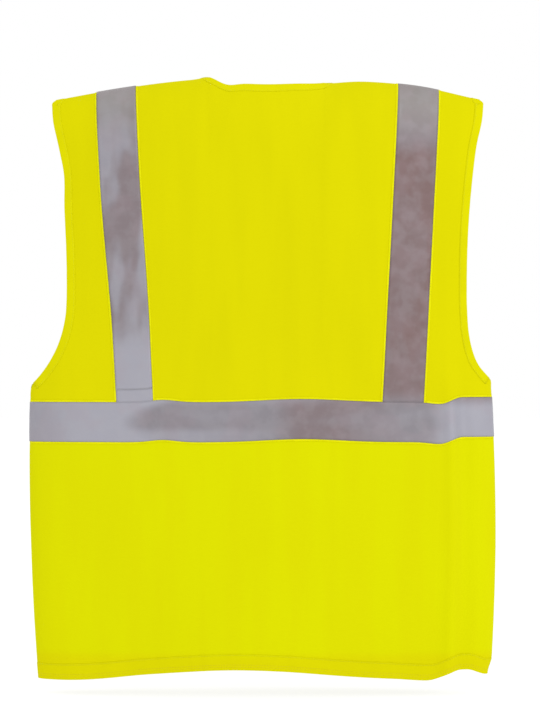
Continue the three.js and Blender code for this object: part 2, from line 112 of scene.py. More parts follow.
LAP_UNDER = 0.004  # how far the tab there runs up under the brace
ARMHOLE_FOOT = UNDERARM + 0.003  # where the armhole's binding ends at the side seam
SHOULDER_SEAM = (0.085, TIP_HALF - 0.0106)  # from beside the neck binding to the armhole's
SEAM_GAP = 0.0003  # from a seam to the start of its allowance
EDGE_STEP = 0.0045  # between points along a tape's edge
PAST_RIDGE = 0.004  # a drop just past the shoulder seam

# Layers, as offsets along the skin's outward normal
CLOTH = (0.0, 0.0004)
TAPE = (0.00065, 0.00105)
BAND_OUT = (0.0005, 0.00085)
BAND_IN = (-0.00055, -0.0002)
BAND_DIP = 0.00027  # how far the cut edge of a band is pressed down
EDGING_LAYER = (0.0005, 0.00085)
BRACE_OVER = (TAPE[0] + 0.0003, TAPE[1] + 0.0005)
SEAM_LAYER = (-0.0016, -0.0004)
HOOK_LAYER = (-0.0017, -0.0002)
LOOP_LAYER = (0.0006, 0.0018)
LABEL_LAYER = (-0.0003, 0.0003)
LABEL_CURL, LABEL_WAVE = 0.0035, 0.0009
THREAD = 0.00018  # about half the width of a stitch

# Sides of the skin: drop is counted up on the back and down on the front
BACK, FRONT = 1, -1

# Pitch and length of the stitches of each kind of row
TAPE_STITCH = (0.0033, 0.0024)
BAND_STITCH = (0.0030, 0.0022)
HEM_STITCH = (0.0034, 0.0025)
LAP_STITCH = (0.0024, 0.0018)
BOX_STITCH = (0.0028, 0.0020)
OVERLOCK_STITCH = (0.0022, 0.0032)
OVERLOCK_SLANT = 1.2
PILE_STITCH = (0.0016, 0.0013)
PILE_THICK, PILE_SLANT, PILE_ROWS, PILE_INSET = 0.00028, 0.8, 10, 0.003
HEM_ROWS = (0.0034, 0.0062)  # the orange rows, above the hem's edge
HEM_INSET = 0.0018  # from the top of the hem band to its row of stitches
ROW_INSET = 0.0016  # the same for a binding or patch
SEAM_INSET = 0.0012  # the same for a seam allowance or the lapped brace
EDGING_ROW = EDGING * 0.55  # from a tape to the row in its edging

# Sideways lean of the worn garment at depths below the neck point, and the tuck beside the seam
LEAN_DEPTHS = (0.0, 0.30, 0.40, 0.60, 0.76)
LEANS = (-0.0057, -0.0030, 0.0035, 0.0, -0.0015)
MIDDLE_LEAN = -0.0042
TUCK_X = -0.237

# Rises and falls of the top edge and of the waist tape: height, place across and half width
TOP_LUMPS = ((0.0045, -0.195, 0.060), (-0.0055, -0.075, 0.032),
             (0.0022, NECK_HALF, 0.012), (-0.0045, 0.049, 0.015))
WAIST_LUMPS = ((0.0042, -0.045, 0.070), (0.0030, 0.132, 0.024), (-0.0024, -0.216, 0.018))

# Ripples in the cloth above and below the waist: height, waves across, waves down and seed
HANG_RIPPLES = ((0.0011, 34, 13, 11), (0.0005, 80, 36, 12))
DRAPE_RIPPLES = ((0.0019, 27, 9, 21), (0.0006, 60, 26, 22))
FULLNESS_FRONT, FULLNESS_BACK = 1.7, 0.85  # the ripples' share on each side


def smooth(low, high, value):
    """0 below low, 1 above high and a smooth step between."""
    t = np.clip((value - low) / (high - low), 0, 1)
    return t * t * (3 - 2 * t)


def bell(centre, width, value):
    """A bell of height 1."""
    return np.exp(-(((value - centre) / width) ** 2))


def lumps(table, value):
    """The sum of the bells in a table of heights, centres and widths."""
    return sum(high * bell(centre, width, value) for high, centre, width in table)


# ---- The skin ----


def ridge(x):
    """Height of the line where front and back meet: a parabola over the neck, then the shoulder."""
    a = np.abs(x)
    out = np.maximum(a - NECK_HALF, 0) / (TIP_HALF - NECK_HALF)
    over_neck = NECK_RISE * (1 - (a / NECK_HALF) ** 2)
    return np.where(a < NECK_HALF, over_neck, -SHOULDER_DROP * out**SHOULDER_BEND)


def half_width(z):
    """Half width of the barrel: straight to the hem with a bulge between."""
    v = np.clip((UNDERARM - z) / (UNDERARM - HEM_Z), 0, 1)
    return CHEST_HALF + (HEM_HALF - CHEST_HALF) * v + SIDE_BULGE * 4 * v * (1 - v)


def half_depth(drop, z):
    """Half depth of the barrel, growing evenly to the hem."""
    top = np.where(drop < 0, DEPTH_TOP_FRONT, DEPTH_TOP_BACK)
    return top + (DEPTH_HEM - top) * np.clip(-z / LENGTH, 0, 1)


def height(turn, drop):
    """z on the skin: a quarter circle from the ridge, then straight down."""
    over = 1 - np.cos(np.minimum(np.abs(drop), math.pi / 2))
    below = np.maximum(np.abs(drop) - math.pi / 2, 0)
    return ridge(CHEST_HALF * np.sin(turn)) - ROUND * (over + below)


def turn_at(x, z):
    """The turn that lies at x at height z."""
    return np.arcsin(np.clip(x / half_width(z), -1, 1))


def drop_at(turn, z):
    """The drop on the back that reaches height z at a turn: the inverse of height."""
    down = (ridge(CHEST_HALF * np.sin(turn)) - z) / ROUND
    over = np.arccos(np.clip(1 - down, -1, 1))
    return np.where(down < 1, over, math.pi / 2 + np.maximum(down - 1, 0))


def lap_lift(x, z):
    """How far the left front stands off the right one: full over the overlap, none at its fold."""
    across = np.clip((fold_x(z) - x) / (fold_x(z) - LAP_FULL), 0, 1)
    return LAP_LIFT * across * smooth(0.12, 0.203, -z)


def bare(turn, drop, lap=False):
    """The smooth skin: an ellipse in plan, closed over the shoulders."""
    z = height(turn, drop)
    x = half_width(z) * np.sin(turn)
    out = np.sin(np.clip(drop, -math.pi / 2, math.pi / 2))
    y = half_depth(drop, z) * np.cos(turn) * out
    if lap:
        y = y - lap_lift(x, z)
    return np.stack([x, y, z], -1)


def settle(p):
    """Moves points as the worn garment lies: sideways lean, uneven shoulders, hem waves, and the
    tuck that lifts a strip beside the right side seam."""
    x, z = p[..., 0], p[..., 2]
    depth = -z
    below_waist = smooth(0.42, LENGTH, depth)
    at_hem = smooth(0.60, LENGTH, depth)

    # Sideways: the lean, a waist drawn in on the left and let out on the right, armhole edges
    # that bow, and the lower right corner pulled in by its stitching
    at_sides = smooth(0.20, 0.28, np.abs(x))
    lean = np.interp(depth, LEAN_DEPTHS, LEANS) * at_sides + MIDDLE_LEAN * (1 - at_sides)
    narrow = -0.0065 * bell(0.190, 0.045, x) * smooth(0.12, 0.33, depth) * smooth(0.60, 0.42, depth)
    wide = -0.0022 * bell(-0.205, 0.030, x) * smooth(0.55, 0.42, depth)
    bow = 0.0026 * np.sign(x) * bell(-0.055, 0.022, z) - 0.0042 * (x > 0) * bell(-0.125, 0.030, z)
    pulled = 0.0045 * smooth(HEM_Z + 0.024, HEM_Z + 0.002, z) * smooth(-0.235, -0.285, x)

    # Up and down: the top edge, the hem with its long wave and its dip, the waist tape, the tuck
    top = np.exp(np.minimum(z, 0) / 0.09) * lumps(TOP_LUMPS, x)
    wave = 0.5 + 0.5 * np.cos(np.clip((x - 0.036) / 0.223, -1, 1) * math.pi)
    hem = smooth(0.47, LENGTH, depth) * (0.0122 * wave - 0.0035 * smooth(0.15, 0.26, x))
    dip = -0.0026 * at_hem * bell(-0.203, 0.028, x)
    band = (0.0006 + lumps(WAIST_LUMPS, x)) * smooth(0.30, 0.41, depth) * smooth(0.66, 0.46, depth)
    reach = 0.016 + 0.008 * below_waist
    tuck = smooth(0.355, 0.392, depth) * smooth(1, -1, (x - TUCK_X - 0.012 * below_waist) / reach)
    corner = 1 - 0.8 * smooth(0.258, 0.290, -x) * at_hem
    lifted = tuck * corner * (0.0062 + 0.0036 * smooth(0.48, LENGTH, depth))

    moved = p.copy()
    moved[..., 0] += lean + narrow + wide + bow * at_sides + pulled
    moved[..., 2] += top + hem + dip + band + lifted
    return moved


def waves(a, b, seed, count=9):
    """Uneven ripples about 1 high: a sum of plane waves with seeded directions, sizes and starts."""
    dice = np.random.default_rng(seed)
    heading, size = dice.uniform(-0.9, 0.9, count), dice.uniform(0.6, 1.7, count)
    start = dice.uniform(0, 2 * math.pi, count)
    total = np.zeros(np.broadcast_shapes(a.shape, b.shape))
    for h, s, c in zip(heading, size, start):
        total = total + np.sin(s * (a * math.cos(h) + b * math.sin(h)) + c)
    return total / math.sqrt(count)


def ripples(table, x, z, shift):
    """The sum of the waves in a table, shifted so that front and back differ."""
    return sum(high * waves(x * across + shift, z * down, seed) for high, across, down, seed in table)


def folds(turn, drop, z):
    """Height of the soft folds over the skin, none at the side and shoulder seams."""
    x = CHEST_HALF * np.sin(turn)
    in_front = drop < 0
    shift = np.where(in_front, 3.0, 0.0)
    upper = smooth(0.02, 0.16, -z) * smooth(0.45, 0.37, -z)
    lower = smooth(0.43, 0.56, -z)
    hang = ripples(HANG_RIPPLES, x, z, shift)
    drape = ripples(DRAPE_RIPPLES, x, z, shift)

    # Two slanting pulls below the shoulder blades, the tuck's fold, and the pull at the underarms
    slant = 0.0014 * bell(0, 0.016, (x - 0.10) * 0.8 + (z + 0.30) * 0.5 + 0.01 * np.sin(z * 20))
    slant = slant + 0.0012 * bell(0, 0.020, (x + 0.08) * 0.9 - (z + 0.24) * 0.4)
    tuck_fold = 0.0046 * bell(TUCK_X + 0.004, 0.009, x) - 0.0030 * bell(TUCK_X - 0.016, 0.011, x)
    tuck_fold = tuck_fold * smooth(0.36, 0.45, -z) * np.where(in_front, 0.35, 1.0)
    pull = -0.0022 * bell(-0.38, 0.05, z) * bell(0.0, 0.05, np.abs(x) - 0.235)

    seams = smooth(0.0, 0.35, math.pi / 2 - np.abs(turn)) * smooth(0.1, 0.8, np.abs(drop))
    fullness = np.where(in_front, FULLNESS_FRONT, FULLNESS_BACK)
    return seams * (fullness * (upper * (hang + slant) + lower * drape) + tuck_fold + pull)


def puckers(turn, drop, z):
    """Fine gathers that a stitched edge draws into the cloth, strongest beside tapes and hem."""
    x = CHEST_HALF * np.sin(turn)
    across = bell(TAPE_TOP, 0.011, z) + bell(TAPE_LOW, 0.011, z) + 0.8 * bell(HEM_TOP, 0.009, z)
    inner = brace_edge(z)
    down = bell(inner, 0.007, np.abs(x)) + bell(inner + TAPE_WIDTH, 0.007, np.abs(x))
    down = down * smooth(0.03, 0.07, -z) * smooth(-TAPE_TOP, -TAPE_TOP - 0.03, -z)
    edge = bell(0, 0.011, outer_x(z) - BAND - np.abs(x)) * smooth(0.03, 0.08, -z)
    edge = edge * smooth(UNDERARM, UNDERARM + 0.03, z)
    return 0.00017 * (across * waves(x * 330, z * 20, 31) + (down + edge) * waves(z * 320, x * 20, 32))


def slopes(shape, turn, drop, step):
    """Change of a shape per radian of turn and per radian of drop."""
    across = shape(turn + step, drop) - shape(turn - step, drop)
    down = shape(turn, drop + step) - shape(turn, drop - step)
    return across / (2 * step), down / (2 * step)


def unit(v):
    """Vectors scaled to a length of 1."""
    return v / np.maximum(np.linalg.norm(v, axis=-1, keepdims=True), 1e-12)


def place(turn, drop, lap=False):
    """Points of the settled and folded skin."""
    across, down = slopes(bare, turn, drop, 1e-3)
    n = unit(np.cross(across, down))
    z = height(turn, drop)
    relief = folds(turn, drop, z) + puckers(turn, drop, z)
    return settle(bare(turn, drop, lap) + n * relief[..., None])


def skin(turn, drop, lap=False):
    """Points and outward normals of the skin."""
    across, down = slopes(lambda a, b: place(a, b, lap), turn, drop, 2e-3)
    return place(turn, drop, lap), unit(np.cross(across, down))


# ---- Outlines, as x over z ----


def armhole_x(z):
    """Half width at the armhole: a rounded shoulder tip, a parabola in to the narrowest point,
    then a flare out."""
    top = -SHOULDER_DROP
    w = np.clip((top - z) / (top - ARMHOLE_NARROW), 0, 1)
    u = np.clip((ARMHOLE_NARROW - z) / (ARMHOLE_NARROW - UNDERARM), 0, 1)
    corner = np.clip((z - top + TIP_ROUND) / TIP_ROUND, 0, 1) ** 2
    upper = TIP_HALF + (ARMHOLE_HALF - TIP_HALF) * (1 - (1 - w) ** 2) - TIP_ROUND * corner
    lower = ARMHOLE_HALF + (CHEST_HALF - ARMHOLE_HALF) * u**ARMHOLE_FLARE
    return np.where(z > ARMHOLE_NARROW, upper, lower)


def outer_x(z):
    """Half width of a panel: the armhole, then the side seam."""
    return np.where(z > UNDERARM, armhole_x(z), half_width(z))


def opening_x(z):
    """Front edge of a front: the V, then straight past the centre by the lap."""
    v = np.clip(z / V_BOTTOM, 0, 1)
    return NECK_HALF - (NECK_HALF + LAP) * v**V_BEND


def top_edge(x):
    """Upper edge of the back: a shallow scoop between the neck points, then the shoulder."""
    scoop = -NECK_DROP * (1 - (x / NECK_HALF) ** 2)
    return np.where(np.abs(x) < NECK_HALF, scoop, ridge(x))


def brace_edge(z):
    """Inner edge of a brace, from the centre: a straight taper to the waist tape."""
    return BRACE_TOP + (BRACE_WAIST - BRACE_TOP) * np.clip(z / TAPE_TOP, 0, 1)


def brace_outer(z):
    """Outer edge of a brace."""
    return brace_edge(z) + TAPE_WIDTH


def past_binding(z):
    """Where a tape or hem begins beside the binding of the front edge."""
    return opening_x(z) + BAND + NEAR


def upright(x):
    """A plumb outline at x."""
    return lambda z: np.full_like(z, x)


def mirrored(sign, outline):
    """An outline of the left side, or of the right one."""
    return lambda z: sign * outline(z)


def ordered(sign, inner, outer):
    """Left and right outline of a piece on one half, in order of x."""
    pair = (mirrored(sign, inner), mirrored(sign, outer))
    return pair if sign > 0 else pair[::-1]


HINGE = next(j for j in frame["joints"] if j["name"] == "left_front_opening")
HINGE_POINT = np.array(HINGE["pos_m"])
HINGE_AXIS = np.array(HINGE["axis"]) / np.linalg.norm(HINGE["axis"])


def fold_x(z):
    """The line that the left front folds back along."""
    return HINGE_POINT[0] + HINGE_AXIS[0] / HINGE_AXIS[2] * (z - HINGE_POINT[2])


# ---- Grids and paths on the skin ----

TURNS = np.linspace(0, math.pi / 2, 400)
SPEED = np.hypot(CHEST_HALF * np.cos(TURNS), DEPTH_MIDDLE * np.sin(TURNS))
ARCS = np.concatenate([[0], np.cumsum((SPEED[1:] + SPEED[:-1]) / 2 * np.diff(TURNS))])


def arc_of(turn):
    """Length of cloth from the centre to a turn, on the level ellipse at half height."""
    return np.sign(turn) * np.interp(np.abs(turn), TURNS, ARCS)


def turn_of(arc):
    """The turn at a length of cloth from the centre: the inverse of arc_of."""
    return np.sign(arc) * np.interp(np.abs(arc), ARCS, TURNS)


def grid(side, top, low, left_x, right_x, rows, columns):
    """Turn and drop on a grid between two outlines left_x(z) and right_x(z) and two heights, which
    may be functions of x. Rows are even in drop, columns even in length of cloth."""
    s = np.linspace(0, 1, rows)[:, None]
    u = np.linspace(0, 1, columns)[None, :]
    z = s * (low if not callable(low) else HEM_Z) + 0 * u
    for _ in range(14):
        first, last = arc_of(turn_at(left_x(z), z)), arc_of(turn_at(right_x(z), z))
        turn = turn_of(first + (last - first) * u)
        x = half_width(z) * np.sin(turn)
        start = top(x[:1]) if callable(top) else np.full((1, columns), top)
        end = low(x[-1:]) if callable(low) else np.full((1, columns), low)
        drop = drop_at(turn[:1], start) * (1 - s) + drop_at(turn[-1:], end) * s
        z = height(turn, drop)
    return turn, side * drop


def trail(x_of_z, from_drop, to_drop, count):
    """A path down or up an outline x(z), even in drop. It may pass over the shoulder."""
    drop = np.linspace(from_drop, to_drop, count)
    turn = np.full(count, 0.5)
    for _ in range(12):
        z = height(turn, drop)
        turn = turn_at(x_of_z(z), z)
    return turn, drop


def contour(side, z, from_x, to_x, count, z_of_x=None):
    """A path across the garment at height z, even in length of cloth."""
    ends = arc_of(turn_at(np.array([from_x, to_x]), np.array([z, z])))
    turn = turn_of(np.linspace(ends[0], ends[1], count))
    level = z if z_of_x is None else z_of_x(CHEST_HALF * np.sin(turn))
    return turn, side * drop_at(turn, level)


def drop_for(x_of_z, z):
    """The drop, counted on the back, at which an outline x(z) reaches height z."""
    z = np.array(float(z))
    return float(drop_at(turn_at(x_of_z(z), z), z))


def travel(turn, drop, lap=False):
    """Points, normals, unit tangents and running length of a path."""
    p, n = skin(turn, drop, lap)
    t = unit(np.gradient(p, axis=0))
    length = np.concatenate([[0], np.cumsum(np.linalg.norm(np.diff(p, axis=0), axis=1))])
    return p, n, t, length


def beside(turn, drop, distance, lap=False):
    """The path moved sideways over the skin, to the left as seen from outside. Each of 4 steps
    solves for the turn and drop that give the step in space."""
    _, n, t, _ = travel(turn, drop, lap)
    w = np.cross(n, t)
    for _ in range(4):
        a, b = slopes(bare, turn, drop, 1e-3)
        aa, ab, bb = (a * a).sum(-1), (a * b).sum(-1), (b * b).sum(-1)
        wa, wb = (w * a).sum(-1), (w * b).sum(-1)
        det = np.maximum(aa * bb - ab * ab, 1e-12)
        turn = turn + (wa * bb - wb * ab) / det * distance / 4
        drop = drop + (wb * aa - wa * ab) / det * distance / 4
    return turn, drop


# ---- Mesh making ----


def piece_of(name, material, points, faces, cloth_uv=None, crisp=False):
    """One object from arrays of points and faces, with an optional map in metres of cloth. Crisp
    faces are shaded flat, so that the rim of a slab stays a clean edge."""
    mesh = bpy.data.meshes.new(name)
    mesh.from_pydata(points.tolist(), [], faces.tolist())
    mesh.materials.append(material)
    if cloth_uv is not None:
        layer = mesh.uv_layers.new(name="Cloth")
        loops = np.empty(len(mesh.loops), dtype=np.int32)
        mesh.loops.foreach_get("vertex_index", loops)
        layer.data.foreach_set("uv", cloth_uv[loops].astype(np.float32).ravel())
    soft = np.ones(len(faces), dtype=bool) & np.logical_not(crisp)
    mesh.polygons.foreach_set("use_smooth", soft)
    mesh.update()
    piece = bpy.data.objects.new(name, mesh)
    bpy.context.scene.collection.objects.link(piece)
    return piece


def joined(name, material, parts):
    """One object from several strips, or from several rows of stitches."""
    columns = list(zip(*parts))
    starts = np.cumsum([0] + [len(points) for points in columns[0][:-1]])
    columns[1] = [faces + start for faces, start in zip(columns[1], starts)]
    return piece_of(name, material, *(np.concatenate(column) for column in columns))


def cloth_map(p):
    """Length of cloth along the rows and columns of a grid, for a weave that follows the piece."""
    across = np.linalg.norm(np.diff(p, axis=1), axis=-1).mean(axis=0)
    down = np.linalg.norm(np.diff(p, axis=0), axis=-1).mean(axis=1)
    u = np.concatenate([[0], np.cumsum(across)]) + p[0, 0, 0]
    v = -np.concatenate([[0], np.cumsum(down)])
    return np.stack(np.broadcast_arrays(u[None, :], v[:, None]), -1).reshape(-1, 2)


def shell(outer, inner, measured):
    """Closed body between two grids of points: both faces, and a wall round the rim. Gives its
    points, its faces turned outward, its map from the measured grid, and which faces are crisp:
    those of the wall."""
    rows, columns = outer.shape[:2]
    count = rows * columns
    points = np.concatenate([outer.reshape(-1, 3), inner.reshape(-1, 3)])
    ids = np.arange(count).reshape(rows, columns)
    top = np.stack([ids[:-1, :-1], ids[:-1, 1:], ids[1:, 1:], ids[1:, :-1]], -1).reshape(-1, 4)
    rim = np.concatenate([ids[0, :-1], ids[:-1, -1], ids[-1, :0:-1], ids[:0:-1, 0]])
    after = np.roll(rim, -1)
    wall = np.stack([after, rim, rim + count, after + count], -1)
    faces = np.concatenate([top, top[:, ::-1] + count, wall])
    crisp = np.arange(len(faces)) >= len(faces) - len(wall)
    a, b, d = outer[0, 0], outer[0, 1], outer[1, 0]
    toward = np.cross(b - a, d - a) @ (a - inner[0, 0])
    if toward <= 0:
        faces = faces[:, ::-1]
    return points, faces, np.tile(cloth_map(measured), (2, 1)), crisp


def layer_of(p, n, layer):
    """The shell between two offsets from a grid of points, along its normals."""
    return shell(p + n * layer[1], p + n * layer[0], p)


def slab(name, path, layer, material, lap=False):
    """A layer of cloth or tape on a grid of the skin, between two offsets."""
    return piece_of(name, material, *layer_of(*skin(*path, lap), layer))


def strip(path, near, far, layer, lap=False):
    """The shell of a narrow band beside a path, from one sideways distance to another."""
    tracks = [skin(*beside(*path, d, lap), lap) for d in np.linspace(near, far, 4)]
    p, n = (np.stack([track[k] for track in tracks], 1) for k in range(2))
    return layer_of(p, n, layer)


def binding(name, path, width, inward, material, lap=False):
    """A strip folded over an edge: a leg on the face, a half round past the edge and a leg behind.
    The path is the edge, and inward is +1 where the cloth lies to its left, seen from outside."""
    reach = width * np.array([1.0, 0.8, 0.55, 0.3, 0.1])
    tracks = [skin(*beside(*path, inward * d, lap), lap) for d in reach]
    p, n, t, _ = travel(*path, lap)
    off = -inward * np.cross(n, t)
    middle = (BAND_OUT[1] + BAND_IN[0]) / 2
    angles = np.radians(np.linspace(90, -90, 7))

    def section(above, below, dip):
        """Rows of points from a leg's end round the edge to the other leg's end. The ends dip."""
        round_radius = (above - below) / 2
        dips = np.array([dip, 0, 0, 0, 0])
        face = [q + m * (above - down) for (q, m), down in zip(tracks, dips)]
        bend = [p + off * round_radius * math.cos(a) + n * (middle + round_radius * math.sin(a))
                for a in angles]
        back = [q + m * (below + up) for (q, m), up in zip(tracks, dips)]
        return np.stack(face + bend + back[::-1], 1)

    outer = section(BAND_OUT[1], BAND_IN[0], BAND_DIP)
    inner = section(BAND_OUT[0], BAND_IN[1], 0.0)
    return piece_of(name, material, *shell(outer, inner, outer))


# A stitch: a bar that dives into the cloth at both ends, as four rings of four points. A ring is
# its place along the bar, its size and its rise, a corner its place across and its rise.
STITCH_RINGS = np.array([(-0.5, 0.35, -0.6), (-0.3, 0.9, 0.55), (0.3, 0.9, 0.55), (0.5, 0.35, -0.6)])
STITCH_CORNERS = np.array([(-1, -0.6), (1, -0.6), (0.7, 0.6), (-0.7, 0.6)])
STITCH_SIDES = [(4 * r + k, 4 * r + (k + 1) % 4, 4 * r + 4 + (k + 1) % 4, 4 * r + 4 + k)
                for r in range(3) for k in range(4)]
STITCH_FACES = np.array(STITCH_SIDES + [(3, 2, 1, 0), (12, 13, 14, 15)])


def stitches(path, off, size, lap=False, slant=0.0, thick=THREAD):
    """Points and faces of a row of stitches along a path, at an offset from the skin. The size is
    the row's pitch and the length of a stitch, and slant turns each stitch across the row."""
    pitch, long = size
    p, n, t, length = travel(*path, lap)
    at = np.arange(pitch * 0.6, length[-1], pitch)

    def along_row(v):
        return np.stack([np.interp(at, length, v[:, k]) for k in range(3)], -1)

    centre, n, t = along_row(p), unit(along_row(n)), unit(along_row(t))
    t = unit(t + np.cross(n, t) * slant)
    w = np.cross(n, t)
    ring = STITCH_RINGS[:, None, :]
    corner = STITCH_CORNERS[None, :, :]
    along = np.repeat(STITCH_RINGS[:, 0] * long, len(STITCH_CORNERS))
    wide = (ring[..., 1] * corner[..., 0] * thick).ravel()
    high = ((ring[..., 2] + ring[..., 1] * corner[..., 1]) * thick).ravel()
    spread = along[None, :, None] * t[:, None] + wide[None, :, None] * w[:, None]
    points = centre[:, None] + spread + (high[None, :, None] + off) * n[:, None]
    faces = STITCH_FACES[None] + points.shape[1] * np.arange(len(at))[:, None, None]
    return points.reshape(-1, 3), faces.reshape(-1, 4)


def row_beside(path, distance, off, size, lap=False, slant=0.0):
    """A row of stitches at a sideways distance from a path."""
    return stitches(beside(*path, distance, lap), off, size, lap, slant)


# ---- Shader writing ----


class Value:
    """A shader socket. Arithmetic on it adds Math nodes."""

    def __init__(self, finish, socket):
        self.finish, self.socket = finish, socket

    def math(self, operation, *values):
        """One Math node on the given values."""
        return self.finish.node("ShaderNodeMath", {"operation": operation}, dict(enumerate(values)))

    def __add__(self, other):
        return self.math("ADD", self, other)

    def __sub__(self, other):
        return self.math("SUBTRACT", self, other)

    def __rsub__(self, other):
        return self.math("SUBTRACT", other, self)

    def __mul__(self, other):
        return self.math("MULTIPLY", self, other)

    def __abs__(self):
        return self.math("ABSOLUTE", self)

    __radd__, __rmul__ = __add__, __mul__

    def sine(self):
        """The sine of an angle in radians."""
        return self.math("SINE", self)

    def ramp(self, low, high):
        """0 at low, 1 at high, smooth between, and level outside."""
        sockets = {"Value": self, "From Min": low, "From Max": high}
        return self.finish.node("ShaderNodeMapRange", {"interpolation_type": "SMOOTHSTEP"}, sockets)


class Finish:
    """A material under construction, around one Principled shader."""

    def __init__(self, name):
        self.material = bpy.data.materials.new(name)
        self.material.use_nodes = True
        self.tree = self.material.node_tree
        self.shader = self.tree.nodes["Principled BSDF"]

    def fill(self, node, name, value):
        """Links a value to a socket, or sets the socket to a number or colour."""
        socket = node.inputs[name]
        if isinstance(value, Value):
            self.tree.links.new(value.socket, socket)
        else:
            socket.default_value = value

    def node(self, kind, settings=None, sockets=None, output=0):
        """Adds a node: its settings first, then its sockets' values or links."""
        node = self.tree.nodes.new(kind)
        for name, value in (settings or {}).items():
            setattr(node, name, value)
        for name, value in (sockets or {}).items():
            self.fill(node, name, value)
        return Value(self, node.outputs[output])

    def set(self, **values):
        """Sets the Principled shader's own sockets. Underscores stand for spaces."""
        for name, value in values.items():
            self.fill(self.shader, name.replace("_", " "), value)

    def space(self, scale=(1, 1, 1), turned=(0, 0, 0), cloth=False):
        """Object coordinates, or the piece's map of cloth lengths, scaled and turned."""
        at = self.node("ShaderNodeTexCoord", output="UV" if cloth else "Object")
        sockets = {"Vector": at, "Scale": scale, "Rotation": turned}
        return self.node("ShaderNodeMapping", None, sockets)

    def noise(self, scale, detail=2.0, rough=0.5, turned=(0, 0, 0)):
        """Soft noise in object space, with as many grains a metre as scale says, the same each way
        or one for each axis."""
        even = np.isscalar(scale)
        at = self.space() if even else self.space(scale, turned)
        sockets = {"Vector": at, "Scale": scale if even else 1.0, "Detail": detail, "Roughness": rough}
        return self.node("ShaderNodeTexNoise", None, sockets)

    def parts(self, at):
        """The x, y and z of a vector."""
        split = self.node("ShaderNodeSeparateXYZ", None, {"Vector": at})
        node = split.socket.node
        return [Value(self, node.outputs[k]) for k in range(3)]

    def mix(self, mask, first, second):
        """A colour from first to second by mask."""
        sockets = {0: mask, 6: first, 7: second}
        return self.node("ShaderNodeMix", {"data_type": "RGBA"}, sockets, output=2)

    def relief(self, high, depth, strength):
        """A Bump from a height in units of depth metres."""
        sockets = {"Height": high, "Distance": depth, "Strength": strength}
        return self.node("ShaderNodeBump", None, sockets)


def colour(red, green, blue):
    """A colour socket's value, opaque."""
    return (red, green, blue, 1.0)


def knit(finish, pitch):
    """Height of a knit: V-shaped loops in columns, as two sines whose phase slants each way."""
    x, y, _ = finish.parts(finish.space(cloth=True))
    per_metre = 2 * math.pi / pitch
    lean = abs((x * (per_metre / 2)).sine())
    column = (x * per_metre).sine()
    row = (y * per_metre * 0.8 + lean * 2.2).sine()
    return column * 0.5 + row * 0.5


def make_cloth():
    """Fluorescent knit polyester: a hot yellow above the waist and in the hem band, a lighter, greener one
    between them that is painted light on the lower panel, with faint darker upright streaks and soft
    blotches of painted fold shade, and a fine knit."""
    yellow, painted_light_greener = (0.626, 0.590, 0.0008), (0.622, 0.639, 0.0004)
    shade_darkening = 0.955
    f = Finish("Knit cloth")
    _, _, z = f.parts(f.space())
    depth = z * -1
    # Darker upright streaks and soft blotches, less in the lower panel: painted shade of soft folds in the
    # cloth.
    streak = f.noise((38, 38, 4.5), detail=3.0).ramp(0.32, 0.68)
    blotch = f.noise((9, 9, 7)).ramp(0.3, 0.7)
    # The lower panel, between the waist tape and the hem band, is painted lighter and greener: painted
    # light, as if it faced the lamps more.
    under_tape = depth.ramp(-TAPE_TOP - 0.004, -TAPE_LOW + 0.004)
    hem_band = depth.ramp(0.722, 0.738)
    low = under_tape * (1 - hem_band)
    base = f.mix(low, colour(*yellow), colour(*painted_light_greener))
    streak_shade = (streak * 0.6 + blotch * 0.4) * 0.85 * (1 - low * 0.55)
    painted_shade = f.mix(streak_shade, base, colour(yellow[0] * shade_darkening, yellow[1] * shade_darkening, yellow[2]))
    normal = f.relief(knit(f, pitch=0.0016), depth=0.00012, strength=0.35)
    f.set(Base_Color=painted_shade, Roughness=0.85, Specular_IOR_Level=0.02, Normal=normal)
    f.set(Sheen_Weight=0.06, Sheen_Roughness=0.5, Sheen_Tint=colour(1.0, 0.96, 0.03))
    # A faint emission in the cloth's own colours: painted glow, standing in for fluorescence.
    f.set(Emission_Color=painted_shade, Emission_Strength=0.05)
    return f.material


